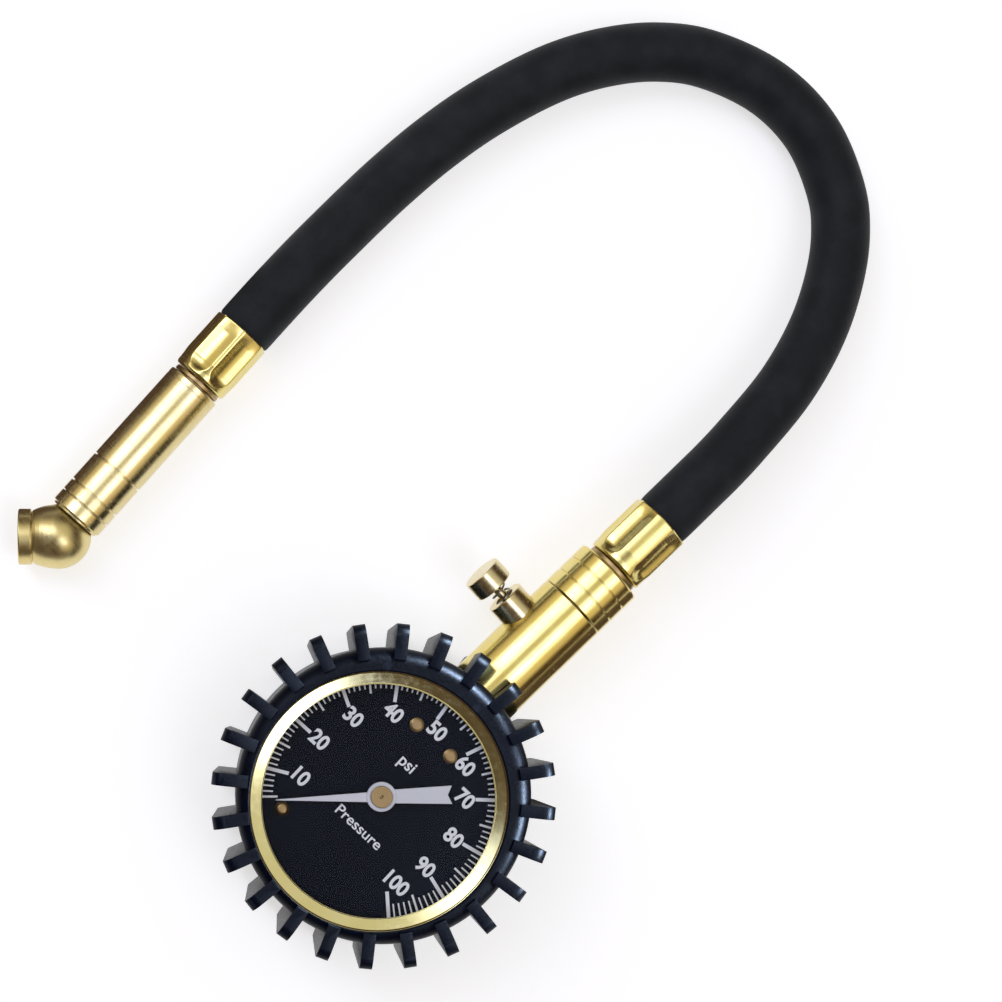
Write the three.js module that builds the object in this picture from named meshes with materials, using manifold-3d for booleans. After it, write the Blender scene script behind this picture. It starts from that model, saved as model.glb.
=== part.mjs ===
// A dial tire pressure gauge with a rubber boot, a swivelling hose and a ball-type air chuck.
// The gauge lies on its back: Z = 0 is the table, +Z comes out of the dial, +Y runs along the stem.
// The origin is on the boot's flat back, on the axis of the case. Lengths are in millimetres.
import * as THREE from 'three';
import { mergeVertices } from 'three/addons/utils/BufferGeometryUtils.js';
import Module from 'manifold-3d';

const wasm = await Module();
wasm.setup();

// ---- driving dimensions ----
const GAP = 0.3; // clearance between pieces that touch
const STEM_Z = 13.5; // height of the stem's axis

const BOOT_Y = 1.4; // the boot's outside sits this far toward the stem from the case's axis
const BOOT_R = 28.2; // at the front; the sides draw in toward the back
const BOOT_BACK_R = 27.8;
const BOOT_INNER_R = 25.8;
const BOOT_FLOOR = 2.3;
const BOOT_FRONT = 27.2;
const LIP_R = 24.6; // the boot's lip covers the rim of the bezel
const FIN_COUNT = 24;
const FIN_R = 33.0;
const FIN_BACK_R = 31.2;
const FIN_TURN = 2.5; // degrees the fins stand anticlockwise of the stem
const FIN_THICKNESS = 2.4;
const FIN_FRONT = 27.8;
const STEM_HOLE_R = 7.6;

const CASE_R = 25.4;
const CASE_WALL = 0.8;
const CASE_BACK = BOOT_FLOOR + GAP;
const CASE_RIM = 24.4;
const BEZEL_INNER_R = 22.1;
const LENS_R = 23.1;
const LENS_BACK = 23.75;
const LENS_THICKNESS = 1.0;

const DIAL_R = 24.1;
const DIAL_BACK = 20.7;
const DIAL_FRONT = 21.2;
const DIAL_TURN = 3; // degrees the printed scale stands anticlockwise of the stem
const POINTER_Y = 0.9; // the movement sits this far toward the stem from the case's centre
const SCREW_X = 4.4;
const SCREW_Y = 14.6;
const SCREW_HEAD_R = 1.45;
const SHANK_R = 0.7;
const STOP_PIN_RADIUS = 19;
const STOP_PIN_ANGLE = 139.7;
const ZERO_ANGLE = 134.6; // degrees anticlockwise from the top of the scale to the needle at rest

const NEEDLE_LENGTH = 20.1;
const TAIL_LENGTH = 13.5;
const NEEDLE_BACK = 22.3;
const NEEDLE_FRONT = 22.7;
const HUB_R = 2.85;
const ARBOR_R = 0.6;
const ARBOR_HOLE_R = 0.9;
const ARBOR_START = 14.75; // both arbors start in the base plate
const PINION_ARBOR_END = 22.75;
const SECTOR_ARBOR_END = 19.25;
const RIVET_START = 18.1;
const RIVET_TOP = 22.0;
const STOP_PIN_START = 20.0;
const STOP_PIN_TOP = 23.1;

const GEAR_MODULE = 0.4;
const PINION_TEETH = 8;
const SECTOR_FULL_TEETH = 56;
const SECTOR_TEETH = 9;
const TOOTH_ADDENDUM = 0.25;
const TOOTH_DEDENDUM = 0.5;
const TOOTH_THICKNESS = 0.46;
const GEAR_BACK = 16.4;
const GEAR_THICKNESS = 0.8;
const PINION_R = (GEAR_MODULE * PINION_TEETH) / 2;
const SECTOR_R = (GEAR_MODULE * SECTOR_FULL_TEETH) / 2;
const SECTOR_Y = POINTER_Y - PINION_R - SECTOR_R;
const POINTER_TRAVEL = 267;
const SECTOR_TRAVEL = (POINTER_TRAVEL * PINION_TEETH) / SECTOR_FULL_TEETH;
const SECTOR_REST = 90 - SECTOR_TRAVEL / 2;
const LINK_ARM = 3.6;
const PIVOT_PIN_R = 0.45;
const PIVOT_HOLE_R = 0.75;
const LINK_BACK = 17.6;
const LINK_FRONT = 18.1;

const PLATE_BACK = 14.6;
const PLATE_THICKNESS = 0.6;
const TOP_PLATE_BACK = 18.6;
const TOP_PLATE_FRONT = 19.4;
const PILLAR_R = 1.0;

const TUBE_R = 17.5;
const TUBE_Z = 9.5;
const TUBE_HALF_HEIGHT = 3.5;
const TUBE_HALF_DEPTH = 1.2;
const TUBE_WALL = 0.6;
const TUBE_START = 73;
const TUBE_END = -155;
const TIP_ANGLE = TUBE_END - 6; // the plug that closes the tube's free end
const SOCKET_HALF_WIDTH = 7.5;
const SOCKET_NEAR = 12.5;
const SOCKET_FAR = 22.5;
const SOCKET_TOP = 20.3;
const SPIGOT_R = 4.9;
const SPIGOT_END = 38.0;

const STEM_R = 7.2;
const STEM_START = 25.8;
const STEM_END = 53.1;
const COLLAR_START = STEM_END + GAP;
const COLLAR_END = 63.3;
const SWIVEL_BORE_R = 4.6;
const SWIVEL_BORE_START = 46.9;
const NECK_R = 4.2;
const SWIVEL_RING_START = 49.0; // the groove that holds the stem's O-ring
const SWIVEL_RING_END = 50.7;
const SWIVEL_RING_R = 3.0;
const AIR_BORE_R = 1.2;
const GROOVE_DEPTH = 0.4;
const GROOVE_HALF = 0.2;

const BLEED_Y = 44.8;
const BLEED_TILT = 8; // degrees the bleeder leans up from the table
const BLEED_BOSS_R = 3.85;
const BLEED_BOSS_END = 10.9;
const BLEED_CAP_R = 4.0;
const BLEED_CAP_START = 13.6;
const BLEED_CAP_END = 17.6;
const BLEED_PIN_R = 0.95;
const BLEED_WELL_R = 2.1; // the spring stands in a shallow well
const BLEED_WELL_FLOOR = 9.3;

const HOSE_R = 5.9;
const HOSE_CRIMPED_R = 5.5;
const HOSE_BORE_R = 3.25;
const FERRULE_R = 6.4;
const CHUCK_FERRULE_R = 6.1;
const FERRULE_LENGTH = 12.8;
const FERRULE_START = 64.5;
const BARB_R = 2.7;
const BARB_TIP_R = 2.95;

const CHUCK_X = -78.6;
const CHUCK_Y = -9.3;
const CHUCK_Z = 6.3;
const CHUCK_TURN = 4.8; // degrees the sleeve leans from the stem's direction
const BALL_R = 6.3;
const MOUTH_ANGLE = 48; // degrees between the sleeve's axis and the mouth's axis
const MOUTH_R = 5.42;
const MOUTH_BORE_R = 4.1;
const MOUTH_END = 7.65;
const SLEEVE_R = 5.6;
const SLEEVE_START = 7.8;
const SLEEVE_END = 39.4;
const CHUCK_FERRULE_START = 40.7;
const CHUCK_NECK_R = 2.6;
const CHUCK_RING_START = 10.0; // the groove that holds the chuck's O-ring
const CHUCK_RING_END = 11.5;
const CHUCK_RING_R = 1.9;
const CHUCK_NECK_END = 13;
const CHAMBER_START = 14.5; // the check valve's chamber inside the sleeve
const CHAMBER_END = 30.5;

// The hose's centreline between the two ferrules, chosen by hand.
const HOSE_ROUTE = [
  [0, 77.6, 13.5],
  [0, 82.4, 13.4],
  [0, 87.7, 13.1],
  [0, 93.2, 12.6],
  [-0.3, 100.2, 11.8],
  [-1.9, 115.2, 10.2],
  [-5.8, 128.2, 8.9],
  [-11.4, 138.6, 7.8],
  [-16.2, 144.6, 7.1],
  [-21.8, 149.2, 6.6],
  [-34.2, 154.2, 6.1],
  [-46.8, 154.0, 6.05],
  [-60.0, 148.6, 6.05],
  [-67.2, 142.6, 6.05],
  [-72.9, 135.2, 6.05],
  [-78.0, 125.2, 6.08],
  [-82.3, 110.0, 6.08],
  [-84.2, 97.0, 6.1],
  [-84.8, 85.2, 6.2],
  [-84.8, 77.5, 6.25],
  [-84.7, 72.5, 6.3],
  [-84.5, 65.1, 6.3],
  [-84.15, 58.0, 6.3],
  [-83.63, 50.6, 6.3],
  [-83.12, 44.5, 6.3],
];

// Facets around pieces of different sizes.
const WIDE_FACETS = 36;
const PIPE_FACETS = 20;
const SMALL_FACETS = 16;
const PIN_FACETS = 10;

// ---- materials ----
const finish = (color, roughness, metalness) => () =>
  new THREE.MeshStandardMaterial({ color, roughness, metalness });
const polishedBrass = finish(0xd8a84a, 0.22, 1);
const satinBrass = finish(0xc29a4c, 0.4, 1);
const paleBrass = finish(0xcdb06a, 0.3, 1);
const steel = finish(0xb8bbc0, 0.35, 1);
const bootRubber = finish(0x14161f, 0.55, 0);
const hoseRubber = finish(0x17181a, 0.6, 0);
const sealRubber = finish(0x0c0c0d, 0.7, 0);
const dialPaint = finish(0x141a2a, 0.5, 0);
const whitePaint = finish(0xeff3fb, 0.45, 0);
const blackPaint = finish(0x101114, 0.5, 0);
const clearPane = () =>
  new THREE.MeshStandardMaterial({ color: 0xf4f8fa, roughness: 0.05, transparent: true, opacity: 0.2 });

// ---- helpers ----
const radians = THREE.MathUtils.degToRad;

// Merges shared corners, drops collapsed triangles and turns every face outward.
function closedBody(geometry) {
  const plain = geometry.clone();
  plain.deleteAttribute('normal');
  plain.deleteAttribute('uv');
  const merged = mergeVertices(plain, 1e-4);
  const corners = merged.index.array;
  const place = merged.attributes.position;
  const triangles = [];
  const a = new THREE.Vector3();
  const b = new THREE.Vector3();
  const c = new THREE.Vector3();
  let volume = 0;
  for (let i = 0; i < corners.length; i += 3) {
    const [p, q, r] = [corners[i], corners[i + 1], corners[i + 2]];
    if (p === q || q === r || r === p) continue;
    triangles.push(p, q, r);
    a.fromBufferAttribute(place, p);
    b.fromBufferAttribute(place, q);
    c.fromBufferAttribute(place, r);
    volume += a.dot(b.cross(c));
  }
  if (volume < 0) triangles.reverse();
  merged.setIndex(triangles);
  return merged;
}

function toSolid(geometry) {
  const body = closedBody(geometry);
  return new wasm.Manifold(new wasm.Mesh({
    numProp: 3,
    vertProperties: new Float32Array(body.attributes.position.array),
    triVerts: new Uint32Array(body.index.array),
  }));
}

function fromSolid(solid) {
  const mesh = solid.getMesh();
  const geometry = new THREE.BufferGeometry();
  geometry.setAttribute('position', new THREE.BufferAttribute(mesh.vertProperties, 3));
  geometry.setIndex(new THREE.BufferAttribute(mesh.triVerts, 1));
  return geometry;
}

// Joins the added geometries and cuts the removed ones away.
function carve(added, removed) {
  let solid = toSolid(added[0]);
  for (const geometry of added.slice(1)) solid = solid.add(toSolid(geometry));
  for (const geometry of removed) solid = solid.subtract(toSolid(geometry));
  return fromSolid(solid);
}

// A solid of revolution about +Y from [radius, height] points. A ring's profile closes on itself.
function turned(profile, segments = SMALL_FACETS) {
  return new THREE.LatheGeometry(profile.map(([r, h]) => new THREE.Vector2(r, h)), segments);
}

// The same about +Z.
function turnedUp(profile, segments = SMALL_FACETS) {
  return turned(profile, segments).rotateX(Math.PI / 2);
}

const discProfile = (r, low, high) => [[0, low], [r, low], [r, high], [0, high]];
const ringProfile = (inner, outer, low, high) =>
  [[inner, low], [outer, low], [outer, high], [inner, high], [inner, low]];

const rodUp = (r, low, high, x = 0, y = 0, segments = PIN_FACETS) =>
  turnedUp(discProfile(r, low, high), segments).translate(x, y, 0);
const rodAlong = (r, start, end, segments = SMALL_FACETS) => turned(discProfile(r, start, end), segments);

function block(low, high) {
  const size = low.map((value, i) => high[i] - value);
  return new THREE.BoxGeometry(...size).translate(...low.map((value, i) => value + size[i] / 2));
}

// A flat plate between two heights from an outline of [x, y] points, with optional holes.
function plate(outline, back, front, holes = []) {
  const shape = new THREE.Shape(outline.map(([x, y]) => new THREE.Vector2(x, y)));
  for (const hole of holes) shape.holes.push(hole);
  return new THREE.ExtrudeGeometry(shape, { depth: front - back, bevelEnabled: false, curveSegments: 8 })
    .translate(0, 0, back);
}

function roundHole(x, y, r) {
  return new THREE.Path().absarc(x, y, r, 0, 2 * Math.PI, true);
}

const polar = (radius, degrees) => [radius * Math.cos(radians(degrees)), radius * Math.sin(radians(degrees))];

function polygon(sides, halfWidth, halfHeight) {
  return Array.from({ length: sides }, (_, i) => {
    const [x, y] = polar(1, (360 * (i + 0.5)) / sides);
    return new THREE.Vector2(halfWidth * x, halfHeight * y);
  });
}

// A bar of constant section swept along a path.
function swept(section, path, steps, hole) {
  const shape = new THREE.Shape(section);
  if (hole) shape.holes.push(new THREE.Path(hole));
  return new THREE.ExtrudeGeometry(shape, { steps, extrudePath: path, bevelEnabled: false });
}

// An arc, flat spiral or helix: radius and height change evenly with the angle, about +Z.
class CoilPath extends THREE.Curve {
  constructor(startRadius, endRadius, startAngle, endAngle, startZ, endZ) {
    super();
    Object.assign(this, { startRadius, endRadius, startAngle, endAngle, startZ, endZ });
  }

  getPoint(t, target = new THREE.Vector3()) {
    const radius = THREE.MathUtils.lerp(this.startRadius, this.endRadius, t);
    const angle = THREE.MathUtils.lerp(this.startAngle, this.endAngle, t);
    const [x, y] = polar(radius, angle);
    return target.set(x, y, THREE.MathUtils.lerp(this.startZ, this.endZ, t));
  }
}

// A coil spring about +Y.
function coilSpring(wireR, coilR, turns, start, end) {
  const stepsPerTurn = 8;
  const path = new CoilPath(coilR, coilR, 0, 360 * turns, start + wireR, end - wireR);
  return swept(polygon(5, wireR, wireR), path, Math.round(turns * stepsPerTurn)).rotateX(-Math.PI / 2);
}

const gauge = new THREE.Group();

function addPiece(name, geometry, material, parent = gauge) {
  const mesh = new THREE.Mesh(closedBody(geometry), material());
  mesh.name = name;
  parent.add(mesh);
}

// ---- boot, case and glass ----
function rubberBoot() {
  const body = turnedUp([
    [0, 0], [26.2, 0], [BOOT_BACK_R, 1.6], [BOOT_R, 23.6], [27.6, 25.4], [26, BOOT_FRONT], [0, BOOT_FRONT],
  ], 2 * FIN_COUNT);
  const root = 26;
  const finOutline = [
    [root, 1.2], [30.4, 1.2], [FIN_BACK_R, 2.2], [FIN_R, 25.4], [32.3, 27.1], [30.6, FIN_FRONT],
    [root, FIN_FRONT],
  ];
  const finSide = FIN_THICKNESS / 2;
  const fins = Array.from({ length: FIN_COUNT }, (_, i) => {
    const fin = plate(finOutline, -finSide, finSide).rotateX(Math.PI / 2);
    return fin.rotateZ(radians(90 + FIN_TURN + (360 / FIN_COUNT) * (i + 0.5)));
  });
  const outside = [body, ...fins].map((geometry) => geometry.translate(0, BOOT_Y, 0));
  const cavity = turnedUp([
    [0, BOOT_FLOOR], [BOOT_INNER_R, BOOT_FLOOR], [BOOT_INNER_R, 26.2], [LIP_R, 26.2], [LIP_R, FIN_FRONT + 1],
    [0, FIN_FRONT + 1],
  ], 2 * FIN_COUNT);
  const stemHole = rodAlong(STEM_HOLE_R, 20, 36).translate(0, 0, STEM_Z);
  return carve(outside, [cavity, stemHole]);
}

function gaugeCase() {
  const inner = CASE_R - CASE_WALL;
  const cup = turnedUp([
    [0, CASE_BACK], [24.6, CASE_BACK], [CASE_R, CASE_BACK + 0.8], [CASE_R, CASE_RIM], [inner, CASE_RIM],
    [inner, CASE_BACK + CASE_WALL], [0, CASE_BACK + CASE_WALL],
  ], WIDE_FACETS);
  return carve([cup], [rodAlong(SPIGOT_R + 0.4, 20, 30).translate(0, 0, STEM_Z)]);
}

function bezelRing() {
  return turnedUp([
    [23.4, 21.6], [24.2, 21.6], [24.2, 24.7], [CASE_R, 24.7], [CASE_R, 25.6], [25.1, 25.9], [24.6, 25.9],
    [BEZEL_INNER_R, 25.35], [BEZEL_INNER_R, 25.05], [23.4, 25.05], [23.4, 21.6],
  ], WIDE_FACETS);
}

function lens() {
  return turnedUp(discProfile(LENS_R, LENS_BACK, LENS_BACK + LENS_THICKNESS), WIDE_FACETS);
}

// ---- dial ----
function onDial(x, y) {
  const [c, s] = polar(1, DIAL_TURN);
  return [x * c - y * s, POINTER_Y + x * s + y * c];
}

const screwPlaces = [onDial(-SCREW_X, SCREW_Y), onDial(SCREW_X, SCREW_Y)];
const stopPinPlace = onDial(...polar(STOP_PIN_RADIUS, 90 + STOP_PIN_ANGLE));

function dialPlate() {
  const drills = [...screwPlaces, stopPinPlace].map(([x, y]) => rodUp(SHANK_R + GAP, 20, 22, x, y));
  return carve([turnedUp(discProfile(DIAL_R, DIAL_BACK, DIAL_FRONT), WIDE_FACETS)],
    [...drills, rodUp(1.5, 20, 22, 0, POINTER_Y)]);
}

// A dome-headed pin through the dial.
function domedPin([x, y], shankEnd, top) {
  const base = DIAL_FRONT + GAP;
  return turnedUp([
    [0, shankEnd], [SHANK_R, shankEnd], [SHANK_R, base], [SCREW_HEAD_R, base], [SCREW_HEAD_R, top - 0.3],
    [1.0, top - 0.1], [0, top],
  ], PIN_FACETS).translate(x, y, 0);
}

// ---- pointer and gear train ----
// Straight-sided teeth about the origin, as [x, y] points, each tooth at its own angle.
function toothPoints(pitchR, angles) {
  const rootR = pitchR - TOOTH_DEDENDUM;
  const tipR = pitchR + TOOTH_ADDENDUM;
  const rootHalf = (TOOTH_THICKNESS * 0.65 * 180) / (Math.PI * rootR);
  const tipHalf = (TOOTH_THICKNESS * 0.3 * 180) / (Math.PI * tipR);
  return angles.flatMap((angle) => [
    polar(rootR, angle - rootHalf), polar(tipR, angle - tipHalf),
    polar(tipR, angle + tipHalf), polar(rootR, angle + rootHalf),
  ]);
}

function pinion() {
  const gearStep = 360 / PINION_TEETH;
  const firstTooth = 270 + gearStep / 2;
  const angles = Array.from({ length: PINION_TEETH }, (_, i) => firstTooth + gearStep * i);
  const gear = plate(toothPoints(PINION_R, angles), GEAR_BACK, GEAR_BACK + GEAR_THICKNESS);
  return carve([gear, rodUp(ARBOR_R, ARBOR_START, PINION_ARBOR_END)], []);
}

function sectorGear() {
  const toothStep = 360 / SECTOR_FULL_TEETH;
  const span = (SECTOR_TEETH - 1) / 2;
  const angles = Array.from({ length: SECTOR_TEETH }, (_, i) => SECTOR_REST + toothStep * (i - span));
  const hubR = 1.9;
  const hubBack = [120, 180, 240].map((turn) => polar(hubR, SECTOR_REST + turn));
  const web = plate([...toothPoints(SECTOR_R, angles), ...hubBack], GEAR_BACK, GEAR_BACK + GEAR_THICKNESS);
  const [pinX, pinY] = polar(LINK_ARM, SECTOR_REST);
  return carve([
    web,
    rodUp(hubR, GEAR_BACK, GEAR_BACK + GEAR_THICKNESS),
    rodUp(ARBOR_R, ARBOR_START, SECTOR_ARBOR_END),
    rodUp(PIVOT_PIN_R, GEAR_BACK + 0.2, LINK_FRONT + 0.25, pinX, pinY),
  ], []);
}

// The needle points along +Y here and is turned to its rest angle where it is placed.
function pointerNeedle() {
  const outline = [
    [0.95, 2.2], [0.08, NEEDLE_LENGTH], [-0.08, NEEDLE_LENGTH], [-0.95, 2.2], [-1.3, -2.2],
    [-1.75, -TAIL_LENGTH], [0, -TAIL_LENGTH + 0.8], [1.75, -TAIL_LENGTH], [1.3, -2.2],
  ];
  const hub = turnedUp(discProfile(HUB_R, NEEDLE_BACK - 0.1, NEEDLE_FRONT + 0.1));
  return carve([plate(outline, NEEDLE_BACK, NEEDLE_FRONT), hub], [rodUp(ARBOR_HOLE_R, 20, 24)]);
}

function pointerCap() {
  return turnedUp([[0, 23.1], [2.1, 23.1], [2.1, 23.4], [1.95, 23.5], [0, 23.5]]);
}

// The link runs from the sector's pin to the post on the tube's tip. Its far eye is a slot.
const sectorPinPlace = [
  polar(LINK_ARM, SECTOR_REST)[0],
  SECTOR_Y + polar(LINK_ARM, SECTOR_REST)[1],
];
const tipPlace = polar(TUBE_R, TIP_ANGLE);

function connectingLink() {
  const [fromX, fromY] = sectorPinPlace;
  const dx = tipPlace[0] - fromX;
  const dy = tipPlace[1] - fromY;
  const length = Math.hypot(dx, dy);
  const slotLength = 2 * LINK_ARM * Math.sin(radians(SECTOR_TRAVEL / 2)) + 2 * GAP;
  const slotStart = length - slotLength;
  const slotHalfWidth = PIVOT_HOLE_R + GAP; // wide enough for the link's small sideways drift
  const eyeR = 1.5;
  const [below, above] = [LINK_BACK - 1, LINK_FRONT + 1];
  const bar = block([0, -0.8, LINK_BACK], [length, 0.8, LINK_FRONT]);
  const slottedEnd = block([slotStart - 1, -eyeR, LINK_BACK], [length + 0.6, eyeR, LINK_FRONT]);
  const nearEye = rodUp(eyeR, LINK_BACK, LINK_FRONT);
  const farEye = rodUp(eyeR, LINK_BACK, LINK_FRONT, length);
  const slot = block([slotStart, -slotHalfWidth, below], [length, slotHalfWidth, above]);
  const nearHole = rodUp(PIVOT_HOLE_R, below, above);
  const farHole = rodUp(PIVOT_HOLE_R, below, above, length);
  return carve([bar, nearEye, slottedEnd, farEye], [slot, nearHole, farHole])
    .rotateZ(Math.atan2(dy, dx)).translate(fromX, fromY, 0);
}

const pillarPlaces = { left: [-4.4, 7.2], right: [4.4, 7.2], rear: [0, -15.6] };

function movementPlate(halfWidth, far, back, front) {
  const near = -17.2;
  const outline = [[-halfWidth, near], [halfWidth, near], [halfWidth, far], [-halfWidth, far]];
  const holes = [roundHole(0, POINTER_Y, ARBOR_HOLE_R), roundHole(0, SECTOR_Y, ARBOR_HOLE_R)];
  return plate(outline, back, front, holes);
}

function hairspring() {
  const path = new CoilPath(1.3, 3.6, 0, 1080, 15.85, 15.85);
  const strip = [[-0.2, -0.1], [0.2, -0.1], [0.2, 0.1], [-0.2, 0.1]].map(([x, y]) => new THREE.Vector2(x, y));
  return swept(strip, path, 30);
}

// ---- Bourdon tube and socket ----
function tubePath(start, end) {
  return new CoilPath(TUBE_R, TUBE_R, start, end, TUBE_Z, TUBE_Z);
}

function bourdonTube() {
  const outer = polygon(8, TUBE_HALF_HEIGHT, TUBE_HALF_DEPTH);
  const inner = polygon(8, TUBE_HALF_HEIGHT - TUBE_WALL, TUBE_HALF_DEPTH - TUBE_WALL);
  return swept(outer, tubePath(TUBE_START, TUBE_END), 18, inner);
}

function tubeTip() {
  const half = 1.4;
  const plug = block([-half, -half, TUBE_Z - 3.8], [half, half, TUBE_Z + 3.8]).rotateZ(radians(TIP_ANGLE));
  return carve([plug, rodUp(PIVOT_PIN_R, TUBE_Z, LINK_FRONT + 0.3)], []).translate(...tipPlace, 0);
}

function tubeSocket() {
  const body = block([-SOCKET_HALF_WIDTH, SOCKET_NEAR, 5], [SOCKET_HALF_WIDTH, SOCKET_FAR, SOCKET_TOP]);
  const shelf = block([-4.5, -3, 12.8], [4.5, SOCKET_NEAR + 1, PLATE_BACK - GAP]);
  const spigot = rodAlong(SPIGOT_R, SOCKET_FAR - 1, SPIGOT_END).translate(0, 0, STEM_Z);
  const airBore = rodAlong(1.5, 14, SPIGOT_END + 1, PIN_FACETS).translate(0, 0, STEM_Z);
  const crossBore = rodAlong(1.2, -6.5, 0.5, PIN_FACETS).rotateZ(Math.PI / 2).translate(0, 16.3, 11.6);
  const pocket = swept(polygon(8, TUBE_HALF_HEIGHT + 0.35, TUBE_HALF_DEPTH + 0.35),
    tubePath(TUBE_START + 2, 55), 4);
  const shankHole = ([x, y]) => rodUp(SHANK_R + GAP, RIVET_START - GAP, SOCKET_TOP + 1, x, y);
  const screwHoles = screwPlaces.map(shankHole);
  return carve([body, shelf, spigot], [airBore, crossBore, pocket, ...screwHoles]);
}

// ---- stem, swivel and bleeder ----
// A shallow groove in an outer surface, as profile points going up.
const groove = (r, at, depth = GROOVE_DEPTH) => [
  [r, at - GROOVE_HALF], [r - depth, at - GROOVE_HALF], [r - depth, at + GROOVE_HALF], [r, at + GROOVE_HALF],
];

const toBleeder = (geometry) =>
  geometry.rotateZ(Math.PI / 2).rotateY(radians(BLEED_TILT)).translate(0, BLEED_Y, 0);

function stemBody() {
  const socketBoreR = SPIGOT_R + 0.4;
  const passageR = 2;
  const body = turned([
    [socketBoreR, STEM_START], [STEM_R, STEM_START], [STEM_R, STEM_END - 0.4], [STEM_R - 0.4, STEM_END],
    [SWIVEL_BORE_R, STEM_END], [SWIVEL_BORE_R, SWIVEL_BORE_START], [passageR, SWIVEL_BORE_START],
    [passageR, SPIGOT_END + GAP],
    [socketBoreR, SPIGOT_END + GAP], [socketBoreR, STEM_START],
  ], PIPE_FACETS);
  return carve([body], [toBleeder(rodAlong(2.5, 0, 9))]);
}

function bleedBushing() {
  const boss = toBleeder(turned(discProfile(BLEED_BOSS_R, 4.6, BLEED_BOSS_END)));
  const neck = toBleeder(rodAlong(2.1, 3.6, 9));
  const bore = toBleeder(rodAlong(BLEED_PIN_R + GAP, 3, 12, PIN_FACETS));
  const well = toBleeder(rodAlong(BLEED_WELL_R, BLEED_WELL_FLOOR, 12));
  const saddle = rodAlong(STEM_R + GAP, 36, 52, PIPE_FACETS);
  const shaped = toSolid(boss).subtract(toSolid(saddle)).add(toSolid(neck));
  return fromSolid(shaped.subtract(toSolid(bore)).subtract(toSolid(well)));
}

function bleedButton() {
  return toBleeder(turned([
    [0, 2.3], [BLEED_PIN_R, 2.3], [BLEED_PIN_R, BLEED_CAP_START], [BLEED_CAP_R, BLEED_CAP_START],
    [BLEED_CAP_R, BLEED_CAP_END - 0.4], [BLEED_CAP_R - 0.4, BLEED_CAP_END], [0, BLEED_CAP_END],
  ]));
}

function bleedSeal() {
  return toBleeder(turned(ringProfile(BLEED_PIN_R + GAP, 1.9, 2.6, 3.3), PIN_FACETS));
}

function bleedSpring() {
  return toBleeder(coilSpring(0.16, 1.65, 2, BLEED_WELL_FLOOR + GAP, 11.8));
}

function swivelCollar() {
  return turned([
    [SWIVEL_BORE_R, COLLAR_START], [STEM_R - 0.4, COLLAR_START], [STEM_R, COLLAR_START + 0.4],
    ...groove(STEM_R, 56.5), ...groove(STEM_R, 59.9), [STEM_R, COLLAR_END - 0.4],
    [STEM_R - 0.4, COLLAR_END], [SWIVEL_BORE_R, COLLAR_END], [SWIVEL_BORE_R, COLLAR_START],
  ], PIPE_FACETS);
}

// The barbed end of a hose fitting, from the ferrule's closed end, as profile points going up.
function barbs(ferruleStart) {
  const points = [[BARB_R, ferruleStart - GAP]];
  for (const offset of [3, 6, 9]) {
    points.push([BARB_TIP_R, ferruleStart + offset], [BARB_R, ferruleStart + offset + 2.4]);
  }
  points.push([AIR_BORE_R, ferruleStart + 11.6]);
  return points;
}

function gaugeHoseFitting() {
  const start = SWIVEL_BORE_START + GAP;
  const flangeR = 5.6;
  return turned([
    [AIR_BORE_R, start], [NECK_R, start], [NECK_R, SWIVEL_RING_START], [SWIVEL_RING_R, SWIVEL_RING_START],
    [SWIVEL_RING_R, SWIVEL_RING_END], [NECK_R, SWIVEL_RING_END], [NECK_R, COLLAR_END + GAP],
    [flangeR, COLLAR_END + GAP], [flangeR, FERRULE_START - GAP], ...barbs(FERRULE_START), [AIR_BORE_R, start],
  ]);
}

function swivelORing() {
  return turned(ringProfile(SWIVEL_RING_R + GAP, 4.3, SWIVEL_RING_START + GAP, SWIVEL_RING_END - GAP));
}

// A crimped ferrule, from its closed end at 0 to its mouth.
function ferrule(r) {
  const wall = 0.4;
  const floor = 1.0;
  const shoulder = 1.8;
  const hole = BARB_R + 0.6;
  return turned([
    [hole, 0], [r - 1.5, 0], [r - 0.5, 0.6], [r, shoulder], [r, FERRULE_LENGTH], [r - wall, FERRULE_LENGTH],
    [r - wall, shoulder], [r - 1, floor], [hole, floor], [hole, 0],
  ], PIPE_FACETS);
}

// ---- hose ----
const chuckFrame = new THREE.Matrix4().makeTranslation(CHUCK_X, CHUCK_Y, CHUCK_Z)
  .multiply(new THREE.Matrix4().makeRotationZ(radians(CHUCK_TURN)));

function hose() {
  const route = new THREE.CatmullRomCurve3(HOSE_ROUTE.map((point) => new THREE.Vector3(...point)));
  const steps = 44;
  const sides = 16;
  const cornerR = HOSE_R / Math.cos(Math.PI / sides) + 0.03; // the flat sides lie just outside the round hose
  const crimpStart = 1.9;
  const crimpEnd = FERRULE_LENGTH + GAP + 1;
  const ends = (r, start, end) => [
    rodAlong(r, FERRULE_START + start, FERRULE_START + end, sides).translate(0, 0, STEM_Z),
    rodAlong(r, CHUCK_FERRULE_START + start, CHUCK_FERRULE_START + end, sides).applyMatrix4(chuckFrame),
  ];
  const outer = swept(polygon(sides, cornerR, cornerR), route, steps);
  const bore = swept(polygon(8, HOSE_BORE_R, HOSE_BORE_R), route, steps);
  return carve([outer, ...ends(HOSE_CRIMPED_R, crimpStart, crimpEnd)],
    [bore, ...ends(HOSE_BORE_R, crimpStart - 1, crimpEnd)]);
}

// ---- air chuck, along +Y from the ball's centre ----
function chuckHoseFitting() {
  const start = CHAMBER_END + 0.4;
  const collarR = 5.1;
  return turned([
    [AIR_BORE_R, start], [4.0, start], [4.0, SLEEVE_END + GAP], [collarR, SLEEVE_END + GAP],
    [collarR, CHUCK_FERRULE_START - GAP], ...barbs(CHUCK_FERRULE_START), [AIR_BORE_R, start],
  ]);
}

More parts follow.
